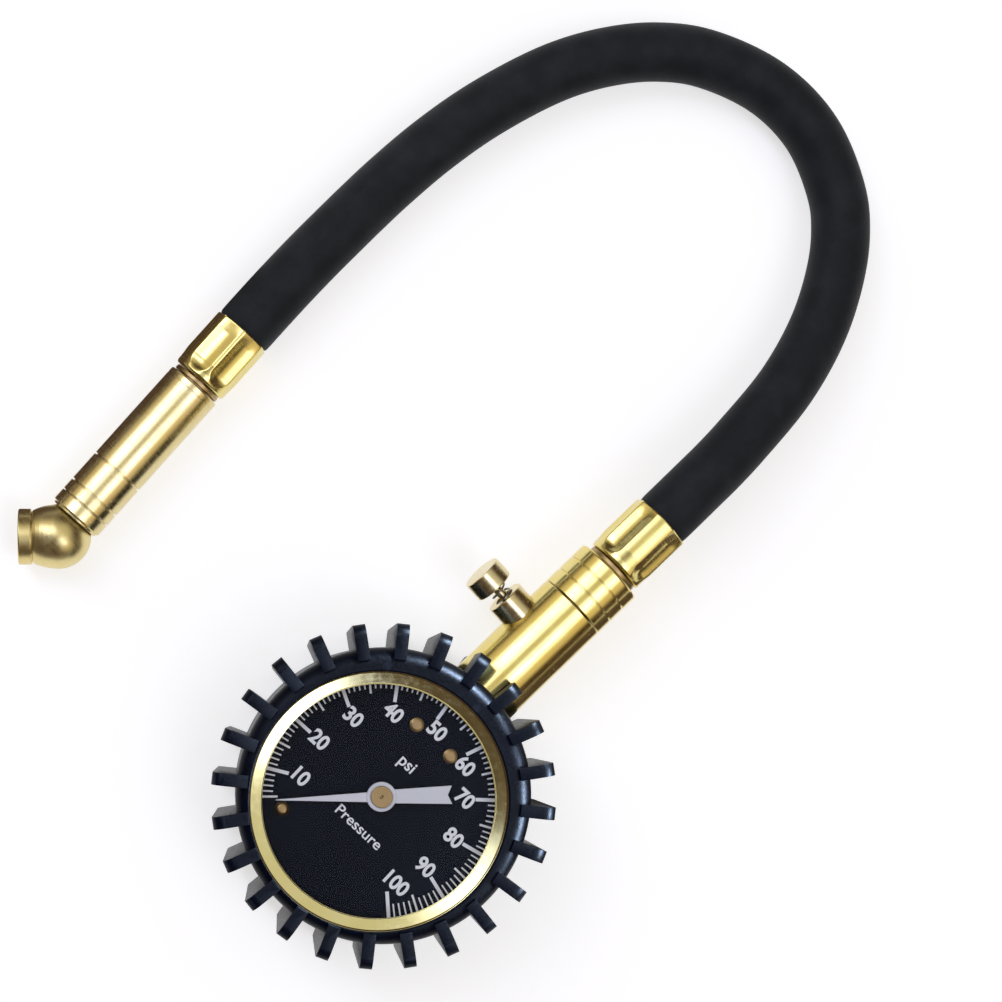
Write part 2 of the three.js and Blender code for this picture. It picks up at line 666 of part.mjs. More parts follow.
function chuckSleeve() {
  const mouthR = 4.4;
  const chamberR = 3.4;
  const neckBoreR = 3.0;
  return turned([
    [neckBoreR, SLEEVE_START], [SLEEVE_R - 0.3, SLEEVE_START], [SLEEVE_R, SLEEVE_START + 0.3],
    ...groove(SLEEVE_R, 10.3), ...groove(SLEEVE_R, 16.9), [SLEEVE_R, SLEEVE_END - 0.3],
    [SLEEVE_R - 0.3, SLEEVE_END], [mouthR, SLEEVE_END], [mouthR, CHAMBER_END], [chamberR, CHAMBER_END],
    [chamberR, CHAMBER_START], [neckBoreR, CHAMBER_START], [neckBoreR, SLEEVE_START],
  ], PIPE_FACETS);
}

function checkValvePoppet() {
  return turned([[0, 15], [2.9, 15], [2.9, 17.2], [1.2, 17.5], [1.2, 22.5], [0, 22.5]], PIN_FACETS);
}

function checkValveSpring() {
  return coilSpring(0.3, 2.4, 4, 19.4, 30.3);
}

// The ring's inside follows the ball at a small clearance.
function swivelRing() {
  return turned([
    [4.9, 4.5], [5.15, 4.5], [SLEEVE_R, 5.0], [SLEEVE_R, 7.5], [3.0, 7.5], [3.0, 6.9], [3.2, 6.25],
    [4.0, 5.65], [4.9, 4.5],
  ], PIPE_FACETS);
}

const toMouth = (geometry) => geometry.rotateZ(radians(180 - MOUTH_ANGLE));

function chuckHead() {
  const ball = new THREE.SphereGeometry(BALL_R, 16, 12);
  const mouth = toMouth(turned([
    [0, 0], [6.0, 0], [6.1, 1.5], [5.95, 2.5], [5.75, 3.4], [5.45, 4.3], [5.2, 4.9], [4.9, 4.95], [4.9, 5.2],
    [MOUTH_R, 5.2], [MOUTH_R, 7.45], [5.25, MOUTH_END], [0, MOUTH_END],
  ], 32));
  const neck = turned([
    [0, 0], [CHUCK_NECK_R, 0], [CHUCK_NECK_R, CHUCK_RING_START], [CHUCK_RING_R, CHUCK_RING_START],
    [CHUCK_RING_R, CHUCK_RING_END], [CHUCK_NECK_R, CHUCK_RING_END], [CHUCK_NECK_R, CHUCK_NECK_END],
    [0, CHUCK_NECK_END],
  ]);
  const mouthBore = toMouth(rodAlong(MOUTH_BORE_R, -1, 10));
  const pinBore = toMouth(rodAlong(1.15, -3.5, 0, PIN_FACETS));
  const airBore = rodAlong(1.1, 0, 14, PIN_FACETS);
  return carve([ball, mouth, neck], [mouthBore, pinBore, airBore]);
}

function chuckORing() {
  return turned(ringProfile(CHUCK_RING_R + GAP, 2.7, CHUCK_RING_START + GAP, CHUCK_RING_END - GAP));
}

function chuckSeal() {
  return toMouth(turned(ringProfile(1.5, 3.8, -0.7, 1.1)));
}

function depressorPin() {
  return toMouth(rodAlong(0.8, -3.2, 1.4, PIN_FACETS));
}

// ---- assembly ----
addPiece('rubber_boot', rubberBoot(), bootRubber);
addPiece('gauge_case', gaugeCase(), blackPaint);
addPiece('bezel_ring', bezelRing(), polishedBrass);
addPiece('lens', lens(), clearPane);
addPiece('dial_plate', dialPlate(), dialPaint);
addPiece('dial_screw_left', domedPin(screwPlaces[0], RIVET_START, RIVET_TOP), satinBrass);
addPiece('dial_screw_right', domedPin(screwPlaces[1], RIVET_START, RIVET_TOP), satinBrass);
addPiece('pointer_stop_pin', domedPin(stopPinPlace, STOP_PIN_START, STOP_PIN_TOP), satinBrass);

addPiece('tube_socket', tubeSocket(), satinBrass);
addPiece('bourdon_tube', bourdonTube(), paleBrass);
addPiece('tube_tip', tubeTip(), satinBrass);
addPiece('connecting_link', connectingLink(), steel);

addPiece('movement_base_plate', movementPlate(6, SOCKET_NEAR - GAP, PLATE_BACK, PLATE_BACK + PLATE_THICKNESS),
  satinBrass);
addPiece('movement_top_plate', movementPlate(5.6, 9, TOP_PLATE_BACK, TOP_PLATE_FRONT), satinBrass);
for (const [side, [x, y]] of Object.entries(pillarPlaces)) {
  const pillar = rodUp(PILLAR_R, PLATE_BACK + PLATE_THICKNESS + GAP, TOP_PLATE_BACK - GAP, x, y);
  addPiece(`movement_pillar_${side}`, pillar, satinBrass);
}

const pointerAxis = new THREE.Group();
pointerAxis.position.y = POINTER_Y;
gauge.add(pointerAxis);
addPiece('hairspring', hairspring(), steel, pointerAxis);
const pointerAtRest = new THREE.Group();
pointerAtRest.rotation.z = radians(ZERO_ANGLE + DIAL_TURN);
pointerAxis.add(pointerAtRest);
addPiece('pointer_needle', pointerNeedle(), whitePaint, pointerAtRest);
addPiece('pointer_cap', pointerCap(), satinBrass, pointerAtRest);
const pinionAtRest = new THREE.Group();
pinionAtRest.rotation.z = radians(POINTER_TRAVEL / 2);
pointerAxis.add(pinionAtRest);
addPiece('pinion', pinion(), satinBrass, pinionAtRest);
const sectorAxis = new THREE.Group();
sectorAxis.position.y = SECTOR_Y;
gauge.add(sectorAxis);
addPiece('sector_gear', sectorGear(), satinBrass, sectorAxis);

const stemAxis = new THREE.Group();
stemAxis.position.z = STEM_Z;
gauge.add(stemAxis);
addPiece('stem_body', stemBody(), polishedBrass, stemAxis);
addPiece('bleed_bushing', bleedBushing(), paleBrass, stemAxis);
addPiece('bleed_button', bleedButton(), paleBrass, stemAxis);
addPiece('bleed_seal', bleedSeal(), sealRubber, stemAxis);
addPiece('bleed_spring', bleedSpring(), steel, stemAxis);
addPiece('swivel_collar', swivelCollar(), polishedBrass, stemAxis);
addPiece('gauge_hose_fitting', gaugeHoseFitting(), satinBrass, stemAxis);
addPiece('swivel_o_ring', swivelORing(), sealRubber, stemAxis);
addPiece('gauge_ferrule', ferrule(FERRULE_R).translate(0, FERRULE_START, 0), polishedBrass, stemAxis);

addPiece('hose', hose(), hoseRubber);

const chuck = new THREE.Group();
chuck.position.set(CHUCK_X, CHUCK_Y, CHUCK_Z);
chuck.rotation.z = radians(CHUCK_TURN);
gauge.add(chuck);
const chuckFerrule = ferrule(CHUCK_FERRULE_R).translate(0, CHUCK_FERRULE_START, 0);
addPiece('chuck_ferrule', chuckFerrule, polishedBrass, chuck);
addPiece('chuck_hose_fitting', chuckHoseFitting(), satinBrass, chuck);
addPiece('chuck_sleeve', chuckSleeve(), polishedBrass, chuck);
addPiece('check_valve_poppet', checkValvePoppet(), satinBrass, chuck);
addPiece('check_valve_spring', checkValveSpring(), steel, chuck);
addPiece('chuck_swivel_ring', swivelRing(), polishedBrass, chuck);
addPiece('chuck_head', chuckHead(), satinBrass, chuck);
addPiece('chuck_o_ring', chuckORing(), sealRubber, chuck);
addPiece('chuck_seal', chuckSeal(), sealRubber, chuck);
addPiece('depressor_pin', depressorPin(), satinBrass, chuck);

export default gauge;
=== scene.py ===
"""Looks of a dial tire pressure gauge with a rubber boot, a hose and an angled air chuck.

Shapes are worked out in millimetres and stored in metres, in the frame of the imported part:
the gauge lies on its back on Z = 0, +Y runs along the stem and +Z comes out of the dial.
"""
from math import asin, atan2, cos, degrees, exp, hypot, pi, radians, sin, sqrt, tan

import bmesh
import bpy
from mathutils import Matrix, Vector


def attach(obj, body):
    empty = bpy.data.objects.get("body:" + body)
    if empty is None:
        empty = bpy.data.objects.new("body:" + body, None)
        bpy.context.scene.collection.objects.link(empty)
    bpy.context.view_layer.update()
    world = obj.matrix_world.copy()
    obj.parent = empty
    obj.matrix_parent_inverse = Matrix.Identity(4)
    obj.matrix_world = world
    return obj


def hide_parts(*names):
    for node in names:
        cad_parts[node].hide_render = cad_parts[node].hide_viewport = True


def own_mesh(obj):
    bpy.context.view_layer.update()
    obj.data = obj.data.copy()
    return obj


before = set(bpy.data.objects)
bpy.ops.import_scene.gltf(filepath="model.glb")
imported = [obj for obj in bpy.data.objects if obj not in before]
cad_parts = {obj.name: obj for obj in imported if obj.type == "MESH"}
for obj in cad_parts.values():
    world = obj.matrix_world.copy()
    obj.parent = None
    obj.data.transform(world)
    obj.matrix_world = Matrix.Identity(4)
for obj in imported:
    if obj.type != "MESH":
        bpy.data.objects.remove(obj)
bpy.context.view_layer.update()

MM = 0.001
WELD_DISTANCE = 1e-7  # in metres

# ---- driving dimensions, in millimetres and degrees ----
STEM_Z = 13.5
STEM_R = 7.2
POINTER_Y = 0.9
DIAL_TURN = 3.0
DIAL_FRONT = 21.2

BOOT_Y = 1.4
BOOT_R = 28.2
BOOT_BACK_R = 27.8
BOOT_INNER_R = 25.8
BOOT_FRONT = 27.2
LIP_R = 24.6
FIN_COUNT = 24
FIN_R = 32.95
FIN_BACK_R = 31.2
FIN_TURN = 2.5
FIN_THICKNESS = 2.4
FIN_FRONT = 27.79
STEM_HOLE_R = 7.6

BLEED_Y = 44.8
BLEED_TILT = 8.0
BLEED_BORE_R = 2.5
BLEED_BOSS_R = 3.85
BLEED_BOSS_END = 10.9
BLEED_WELL_R = 2.1
BLEED_WELL_FLOOR = 9.3
BLEED_CAP_R = 4.0
BLEED_CAP_START = 13.6
BLEED_CAP_END = 17.6

FERRULE_R = 6.4
CHUCK_FERRULE_R = 6.1
FERRULE_WALL = 0.4
FERRULE_LENGTH = 12.8
FERRULE_START = 64.5
FLUTE_START = 0.6
FLUTE_DEPTH = 0.85
RIDGE_HALF = 0.3
HOSE_R = 5.88
HOSE_CRIMPED_R = 4.75
HOSE_MOUTH_R = 5.62
HOSE_INSET = 1.9

CHUCK_AT = (-78.6, -9.3, 6.3)
CHUCK_TURN = 4.8
MOUTH_ANGLE = 48.0
BALL_R = 6.3
SLEEVE_R = 5.6
CHUCK_FERRULE_START = 40.7

# The hose's centreline between the ferrules: the same points as in the part's source.
HOSE_ROUTE = [
    (0, 77.6, 13.5), (0, 82.4, 13.4), (0, 87.7, 13.1), (0, 93.2, 12.6), (-0.3, 100.2, 11.8),
    (-1.9, 115.2, 10.2), (-5.8, 128.2, 8.9), (-11.4, 138.6, 7.8), (-16.2, 144.6, 7.1),
    (-21.8, 149.2, 6.6), (-34.2, 154.2, 6.1), (-46.8, 154.0, 6.05), (-60.0, 148.6, 6.05),
    (-67.2, 142.6, 6.05), (-72.9, 135.2, 6.05), (-78.0, 125.2, 6.08), (-82.3, 110.0, 6.08),
    (-84.2, 97.0, 6.1), (-84.8, 85.2, 6.2), (-84.8, 77.5, 6.25), (-84.7, 72.5, 6.3),
    (-84.5, 65.1, 6.3), (-84.15, 58.0, 6.3), (-83.63, 50.6, 6.3), (-83.12, 44.5, 6.3),
]

# ---- places: each turns a piece's own axis, local +Z, to where it lies ----
LAY_DOWN = Matrix.Rotation(radians(-90), 4, "X")


def turn_z(angle):
    return Matrix.Rotation(radians(angle), 4, "Z")


UPRIGHT = Matrix.Identity(4)
STEM = Matrix.Translation((0, 0, STEM_Z)) @ LAY_DOWN
BLEEDER = (
    Matrix.Translation((0, BLEED_Y, STEM_Z))
    @ Matrix.Rotation(radians(BLEED_TILT), 4, "Y") @ turn_z(90) @ LAY_DOWN
)
CHUCK = Matrix.Translation(CHUCK_AT) @ turn_z(CHUCK_TURN) @ LAY_DOWN
MOUTH = Matrix.Translation(CHUCK_AT) @ turn_z(CHUCK_TURN + 180 - MOUTH_ANGLE) @ LAY_DOWN
DIAL = Matrix.Translation((0, POINTER_Y, 0)) @ turn_z(DIAL_TURN)


# ---- camera: it looks almost straight down, turned about Z to the picture's upright ----
PICTURE_TURN = radians(46.3)
PICTURE_UP = Vector((-sin(PICTURE_TURN), cos(PICTURE_TURN), 0))
PICTURE_RIGHT = Vector((cos(PICTURE_TURN), sin(PICTURE_TURN), 0))
EYE = (-54.95, -3.52, 620)
TARGET = (-24.60, 57.19, 15)
FOCAL_LENGTH = 112.65


def make_camera():
    data = bpy.data.cameras.new("camera")
    data.sensor_width = 36
    data.lens = FOCAL_LENGTH
    camera = bpy.data.objects.new("camera", data)
    bpy.context.collection.objects.link(camera)
    eye = Vector(EYE) * MM
    back = (eye - Vector(TARGET) * MM).normalized()
    right = PICTURE_UP.cross(back).normalized()
    up = back.cross(right)
    camera.matrix_world = Matrix.Translation(eye) @ Matrix((right, up, back)).transposed().to_4x4()
    bpy.context.scene.camera = camera


make_camera()


# ---- mesh helpers ----
def polar(radius, angle):
    return radius * cos(radians(angle)), radius * sin(radians(angle))


def mesh_of(name, points, faces, place):
    """A mesh in metres from points in millimetres."""
    mesh = bpy.data.meshes.new(name)
    mesh.from_pydata([place @ Vector(p) * MM for p in points], [], faces)
    return mesh


def weld(mesh):
    """Joins doubled points and turns the faces outward."""
    shape = bmesh.new()
    shape.from_mesh(mesh)
    bmesh.ops.remove_doubles(shape, verts=shape.verts, dist=WELD_DISTANCE)
    bmesh.ops.recalc_face_normals(shape, faces=shape.faces)
    shape.to_mesh(mesh)
    shape.free()


def add_piece(name, points, faces, place, body, material, replaces=(), sharp=35.0):
    """A piece from points in millimetres, riding on a CAD body."""
    mesh = mesh_of(name, points, faces, place)
    mesh.validate()
    weld(mesh)
    return add_mesh(name, mesh, body, material, replaces, sharp)


def add_mesh(name, mesh, body, material, replaces=(), sharp=35.0):
    """A piece from a finished mesh, riding on a CAD body and smooth below the sharp angle."""
    mesh.shade_smooth()
    mesh.set_sharp_from_angle(angle=radians(sharp))
    mesh.materials.clear()
    mesh.materials.append(material)
    piece = bpy.data.objects.new(name, mesh)
    bpy.context.collection.objects.link(piece)
    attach(piece, body)
    if replaces:
        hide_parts(*replaces)
    return piece


HOLD = 0.03
LARGEST_SHARE = 0.49  # of a side that one fillet may take


def rounded(profile, closed):
    """The profile with each (r, h, fillet) corner rounded to its fillet radius.

    One more point, HOLD beyond each end of a fillet, keeps the sides flat when they are shaded smooth.
    """
    smooth = []
    count = len(profile)
    for i, corner in enumerate(profile):
        here = Vector(corner[:2])
        fillet = corner[2] if len(corner) > 2 else 0
        if fillet == 0 or (not closed and i in (0, count - 1)):
            smooth.append(here)
            continue
        before = Vector(profile[i - 1][:2]) - here
        after = Vector(profile[(i + 1) % count][:2]) - here
        angle = before.angle(after)
        before_room = before.length * LARGEST_SHARE
        after_room = after.length * LARGEST_SHARE
        reach = min(fillet / tan(angle / 2), before_room, after_room)
        radius = reach * tan(angle / 2)
        start = here + before.normalized() * reach
        end = here + after.normalized() * reach
        centre = here + (before.normalized() + after.normalized()).normalized() * hypot(reach, radius)
        hold_before = min(HOLD, before_room - reach)
        if hold_before > HOLD / 10:
            smooth.append(start + before.normalized() * hold_before)
        steps = max(4, round(fillet * 5))
        first = (start - centre).to_tuple()
        sweep = (end - centre).angle_signed(start - centre, 0)
        for k in range(steps + 1):
            a = atan2(first[1], first[0]) + sweep * k / steps
            smooth.append(centre + Vector((cos(a), sin(a))) * radius)
        hold_after = min(HOLD, after_room - reach)
        if hold_after > HOLD / 10:
            smooth.append(end + after.normalized() * hold_after)
    return smooth


def grid_faces(rows, columns, close_rows):
    """Faces of a grid of points that closes round its columns, and round its rows if asked."""
    faces = []
    for i in range(rows if close_rows else rows - 1):
        for j in range(columns):
            k = (j + 1) % columns
            n = (i + 1) % rows
            faces.append((i * columns + j, i * columns + k, n * columns + k, n * columns + j))
    return faces


def tube_faces(rows, sides):
    """Faces of a tube made of rows of points, with both ends capped."""
    faces = grid_faces(rows, sides, False)
    last = (rows - 1) * sides
    faces.append(tuple(range(sides))[::-1])
    faces.append(tuple(range(last, last + sides)))
    return faces


def lathe_mesh(profile, closed, segments, radius_of=None):
    """Points and faces of a turned shape about Z. radius_of(r, h, angle) may press it out of round."""
    outline = rounded(profile, closed)
    points = []
    for r, h in outline:
        for j in range(segments):
            angle = 360 * j / segments
            radius = radius_of(r, h, angle) if radius_of else r
            points.append((*polar(radius, angle), h))
    return points, grid_faces(len(outline), segments, closed)


def lathe(name, profile, place, body, material, replaces=(), segments=128, sharp=35.0,
          radius_of=None):
    """A turned piece. A profile that starts on the axis runs from pole to pole, any other is a ring's."""
    closed = profile[0][0] > 0
    points, faces = lathe_mesh(profile, closed, segments, radius_of)
    return add_piece(name, points, faces, place, body, material, replaces, sharp)


def prism_bmesh(outline, low, high, bevel=0.0, segments=2):
    """A flat plate in the XY plane, its edges bevelled."""
    shape = bmesh.new()
    face = shape.faces.new([shape.verts.new((x, y, low)) for x, y in outline])
    top = bmesh.ops.extrude_face_region(shape, geom=[face])
    moved = [v for v in top["geom"] if isinstance(v, bmesh.types.BMVert)]
    bmesh.ops.translate(shape, verts=moved, vec=(0, 0, high - low))
    bmesh.ops.recalc_face_normals(shape, faces=shape.faces)
    if bevel:
        bmesh.ops.bevel(shape, geom=list(shape.edges), offset=bevel, segments=segments,
                        profile=0.5, affect="EDGES", clamp_overlap=True)
    return shape


def joined(shapes):
    """One mesh from several (bmesh, matrix) pairs, in metres."""
    whole = bmesh.new()
    for shape, matrix in shapes:
        shape.transform(Matrix.Scale(MM, 4) @ matrix)
        part = bpy.data.meshes.new("part")
        shape.to_mesh(part)
        shape.free()
        whole.from_mesh(part)
        bpy.data.meshes.remove(part)
    mesh = bpy.data.meshes.new("joined")
    whole.to_mesh(mesh)
    whole.free()
    return mesh


def boolean(mesh, other, operation):
    """mesh joined with or cut by other, as a new mesh."""
    base = bpy.data.objects.new("base", mesh)
    tool = bpy.data.objects.new("tool", other)
    for piece in (base, tool):
        bpy.context.collection.objects.link(piece)
    step = base.modifiers.new("boolean", "BOOLEAN")
    step.operation = operation
    step.solver = "EXACT"
    step.object = tool
    bpy.context.view_layer.update()
    evaluated = base.evaluated_get(bpy.context.evaluated_depsgraph_get())
    result = bpy.data.meshes.new_from_object(evaluated)
    bpy.data.objects.remove(base)
    bpy.data.objects.remove(tool)
    return result


# ---- material helpers ----
class Paint:
    """A material under construction: a Principled shader and helpers for the nodes before it."""

    def __init__(self, name, colour, roughness, metallic=0.0, turn=None):
        self.material = bpy.data.materials.new(name)
        self.material.use_nodes = True
        self.tree = self.material.node_tree
        self.shader = self.tree.nodes["Principled BSDF"]
        self.shader.inputs["Metallic"].default_value = metallic
        self.shader.inputs["Base Color"].default_value = (*colour, 1)
        self.shader.inputs["Roughness"].default_value = roughness
        self.colour = colour
        self.roughness = roughness
        self.place = self.tree.nodes.new("ShaderNodeTexCoord").outputs["Object"]
        if turn is not None:
            self.place = self.mapped(self.place, rotation=turn)

    def mapped(self, vector, scale=(1, 1, 1), rotation=(0, 0, 0)):
        node = self.tree.nodes.new("ShaderNodeMapping")
        node.inputs["Scale"].default_value = scale
        node.inputs["Rotation"].default_value = rotation
        self.tree.links.new(vector, node.inputs["Vector"])
        return node.outputs["Vector"]

    def noise(self, scale, detail=2.0, roughness=0.5, stretch=(1, 1, 1)):
        node = self.tree.nodes.new("ShaderNodeTexNoise")
        node.inputs["Scale"].default_value = scale
        node.inputs["Detail"].default_value = detail
        node.inputs["Roughness"].default_value = roughness
        self.tree.links.new(self.mapped(self.place, stretch), node.inputs["Vector"])
        return node.outputs["Fac"]

    def ranged(self, value, low, high, new_low=0.0, new_high=1.0):
        node = self.tree.nodes.new("ShaderNodeMapRange")
        node.inputs["From Min"].default_value = low
        node.inputs["From Max"].default_value = high
        node.inputs["To Min"].default_value = new_low
        node.inputs["To Max"].default_value = new_high
        self.tree.links.new(value, node.inputs["Value"])
        return node.outputs["Result"]

    def maths(self, operation, a, b):
        node = self.tree.nodes.new("ShaderNodeMath")
        node.operation = operation
        for socket, value in zip(node.inputs, (a, b)):
            if isinstance(value, (int, float)):
                socket.default_value = value
            else:
                self.tree.links.new(value, socket)
        return node.outputs["Value"]

    def blend_colour(self, amount, first, second):
        node = self.tree.nodes.new("ShaderNodeMix")
        node.data_type = "RGBA"
        self.tree.links.new(amount, node.inputs["Factor"])
        for socket, colour in ((node.inputs[6], first), (node.inputs[7], second)):
            if isinstance(colour, tuple):
                socket.default_value = (*colour, 1)
            else:
                self.tree.links.new(colour, socket)
        return node.outputs[2]

    def pointiness(self):
        return self.tree.nodes.new("ShaderNodeNewGeometry").outputs["Pointiness"]

    def set(self, socket, value):
        self.tree.links.new(value, self.shader.inputs[socket])

    def bump(self, height, strength, distance):
        node = self.tree.nodes.new("ShaderNodeBump")
        node.inputs["Strength"].default_value = strength
        node.inputs["Distance"].default_value = distance
        self.tree.links.new(height, node.inputs["Height"])
        self.set("Normal", node.outputs["Normal"])


def shade(colour, factor):
    return tuple(c * factor for c in colour)


def brass(name, colour, roughness, turn=None, lines=0.25):
    """Turned brass: fine lines round the piece's own axis, handling marks and a warm colour drift."""
    paint = Paint(name, colour, roughness, metallic=1.0, turn=turn)
    drift = paint.ranged(paint.noise(140, 3, 0.55), 0.35, 0.7)
    warm = (colour[0] * 0.95, colour[1] * 0.90, colour[2] * 0.78)
    paint.set("Base Color", paint.blend_colour(drift, colour, warm))
    turning = paint.noise(1, 2, 0.6, stretch=(90, 90, 9000))
    marks = paint.ranged(paint.noise(900, 4, 0.6, stretch=(1, 1, 0.25)), 0.45, 0.75)
    rough = paint.ranged(turning, 0.3, 0.7, roughness * 0.8, roughness * 1.2)
    smear = paint.maths("MULTIPLY", marks, 0.1)
    paint.set("Roughness", paint.maths("ADD", rough, smear))
    paint.bump(turning, lines, 0.00002)
    return paint.material


def rubber(name, colour, roughness, grain, edge_dust_and_sheen, specular):
    """Moulded rubber: a fine matt grain, and paler convex edges, dusty and worn, with a painted edge
    highlight mixed in.
    """
    paint = Paint(name, colour, roughness)
    paint.shader.inputs["Specular IOR Level"].default_value = specular
    fine = paint.noise(grain, 4, 0.6)
    broad = paint.ranged(paint.noise(160, 3, 0.5), 0.4, 0.7)
    tone = paint.blend_colour(broad, shade(colour, 0.85), shade(colour, 1.25))
    # Paler colour on convex edges: partly dusty wear, partly a painted edge highlight.
    edges = paint.ranged(paint.pointiness(), 0.53, 0.62, 0, 0.6)
    paint.set("Base Color", paint.blend_colour(edges, tone, edge_dust_and_sheen))
    paint.set("Roughness", paint.ranged(fine, 0.3, 0.7, roughness - 0.08, roughness + 0.1))
    paint.bump(fine, 0.25, 0.00006)
    return paint.material


def enamel(name, colour, roughness, speckle=0.06, specular=0.3):
    """Screen-printed or sprayed paint, with a faint orange peel."""
    paint = Paint(name, colour, roughness)
    paint.shader.inputs["Specular IOR Level"].default_value = specular
    peel = paint.noise(2600, 3, 0.5)
    drift = paint.ranged(paint.noise(90, 2, 0.5), 0.35, 0.65)
    tone = paint.blend_colour(drift, shade(colour, 1 - speckle), shade(colour, 1 + speckle))
    paint.set("Base Color", tone)
    paint.set("Roughness", paint.ranged(peel, 0.3, 0.7, roughness - 0.05, roughness + 0.05))
    paint.bump(peel, 0.12, 0.00002)
    return paint.material


def clear_pane(name):
    """The lens: a coated clear pane with faint smears, which mirrors more at a low angle."""
    paint = Paint(name, (0.85, 0.90, 1.0), 0.03, metallic=1.0)
    smears = paint.noise(70, 3, 0.6, stretch=(1, 2.5, 1))
    paint.set("Roughness", paint.ranged(smears, 0.4, 0.75, 0.02, 0.09))
    mirror = paint.tree.nodes.new("ShaderNodeFresnel")
    mirror.inputs["IOR"].default_value = 1.49
    paint.set("Alpha", paint.maths("MULTIPLY", mirror.outputs["Fac"], 0.12))
    return paint.material


STEM_TURN = (radians(90), 0, 0)
CHUCK_TURN_BACK = (radians(90), 0, radians(-CHUCK_TURN))
GOLD = (0.80, 0.68, 0.26)
materials = {
    # The fifth value of each rubber is its paler edge colour: dusty wear together with a painted edge
    # highlight.
    "boot": rubber("boot_rubber", (0.0018, 0.0034, 0.0108), 0.34, 2200, (0.02, 0.03, 0.055), 0.08),
    "hose": rubber("hose_rubber", (0.0185, 0.0215, 0.0250), 0.55, 3000, (0.03, 0.03, 0.03), 0.12),
    "seal": rubber("seal_rubber", (0.008, 0.008, 0.009), 0.6, 3000, (0.02, 0.02, 0.02), 0.2),
    "bezel": brass("bezel_brass", (0.80, 0.76, 0.42), 0.13, lines=0.02),
    "stem": brass("stem_brass", GOLD, 0.18, STEM_TURN, lines=0.07),
    "ferrule": brass("ferrule_brass", (0.80, 0.69, 0.27), 0.22, STEM_TURN, lines=0.05),
    "chuck": brass("chuck_brass", (0.74, 0.64, 0.34), 0.24, CHUCK_TURN_BACK, lines=0.1),
    "ball": brass("ball_brass", (0.76, 0.65, 0.31), 0.32, CHUCK_TURN_BACK, lines=0.1),
    "bleeder": brass("bleeder_brass", (0.80, 0.70, 0.42), 0.22, STEM_TURN, lines=0.1),
    "fitting": brass("fitting_brass", (0.42, 0.30, 0.14), 0.34, STEM_TURN, lines=0.2),
    "dial_brass": brass("dial_brass", (0.36, 0.26, 0.13), 0.40, lines=0.2),
    "movement": brass("movement_brass", (0.74, 0.53, 0.22), 0.32),
    "bronze": brass("tube_bronze", (0.68, 0.42, 0.20), 0.35),
    "steel": brass("spring_steel", (0.32, 0.31, 0.30), 0.35, lines=0.1),
    "dial": enamel("dial_enamel", (0.0042, 0.0068, 0.0155), 0.5, specular=0.04),
    "white": enamel("white_enamel", (0.76, 0.80, 0.88), 0.4, 0.02, 0.2),
    "print": enamel("print_white", (0.90, 0.94, 0.99), 0.5, 0.01, 0.1),
    "case": enamel("case_enamel", (0.012, 0.013, 0.015), 0.4),
    "lens": clear_pane("clear_lens"),
}


# ---- hose ----
def hose_points():
    """The whole centreline, fitting to fitting, close enough together to be smooth."""
    def along(place, heights):
        return [tuple(place @ Vector((0, 0, h))) for h in heights]

    start = along(STEM, (FERRULE_START + HOSE_INSET, FERRULE_START + 5, FERRULE_START + 9))
    end = along(CHUCK, [CHUCK_FERRULE_START + h for h in (9, 5, HOSE_INSET)])
    knots = [Vector(p) for p in start + HOSE_ROUTE + end]
    points = []
    for i in range(len(knots) - 1):
        a, b = knots[i], knots[i + 1]
        before = knots[i - 1] if i else a * 2 - b
        after = knots[i + 2] if i + 2 < len(knots) else b * 2 - a
        steps = max(2, round((b - a).length / 1.0))
        for k in range(steps):
            points.append(centripetal(before, a, b, after, k / steps))
    points.append(knots[-1])
    return points


def centripetal(p0, p1, p2, p3, t):
    """A point between p1 and p2 on the centripetal curve through all four."""
    gap01 = sqrt((p1 - p0).length)
    gap12 = sqrt((p2 - p1).length)
    gap23 = sqrt((p3 - p2).length)
    tangent1 = (p1 - p0) / gap01 - (p2 - p0) / (gap01 + gap12) + (p2 - p1) / gap12
    tangent2 = (p2 - p1) / gap12 - (p3 - p1) / (gap12 + gap23) + (p3 - p2) / gap23
    m1, m2 = tangent1 * gap12, tangent2 * gap12
    return (p1 * (2 * t**3 - 3 * t**2 + 1) + m1 * (t**3 - 2 * t**2 + t)
            + p2 * (3 * t**2 - 2 * t**3) + m2 * (t**3 - t**2))


def hose_radius(distance, length):
    """Squeezed inside the ferrules, with a soft swell where the hose comes out of them."""
    from_mouth = min(distance, length - distance) - (FERRULE_LENGTH - HOSE_INSET)
    if from_mouth < 0:
        return HOSE_CRIMPED_R + (HOSE_MOUTH_R - HOSE_CRIMPED_R) * exp(from_mouth)
    return HOSE_R - (HOSE_R - HOSE_MOUTH_R) * exp(-from_mouth / 0.3)


def make_hose():
    line = hose_points()
    sides = 40
    travelled = [0.0]
    for a, b in zip(line, line[1:]):
        travelled.append(travelled[-1] + (b - a).length)
    length = travelled[-1]
    side = Vector((1, 0, 0))
    points = []
    for i, here in enumerate(line):
        ahead = (line[min(i + 1, len(line) - 1)] - line[max(i - 1, 0)]).normalized()
        side = (side - ahead * side.dot(ahead)).normalized()
        up = ahead.cross(side)
        radius = hose_radius(travelled[i], length)
        for j in range(sides):
            x, y = polar(radius, 360 * j / sides)
            points.append(here + side * x + up * y)
    hose = add_piece("hose_rubber", points, tube_faces(len(line), sides), UPRIGHT, "hose_assembly",
                     materials["hose"], ["hose"])


make_hose()


# ---- boot, bezel and lens ----
def solid_mesh(profile, segments=240):
    """A closed solid turned about Z, in metres, for joining and cutting."""
    points, faces = lathe_mesh(profile, False, segments)
    mesh = mesh_of("solid", points, faces, UPRIGHT)
    weld(mesh)
    return mesh


def rod(radius, place, length=20, segments=96):
    """A cylinder about place's local Z, in metres, for joining and cutting."""
    shape = bmesh.new()
    bmesh.ops.create_cone(shape, cap_ends=True, segments=segments, radius1=radius, radius2=radius,
                          depth=length)
    return joined([(shape, place)])


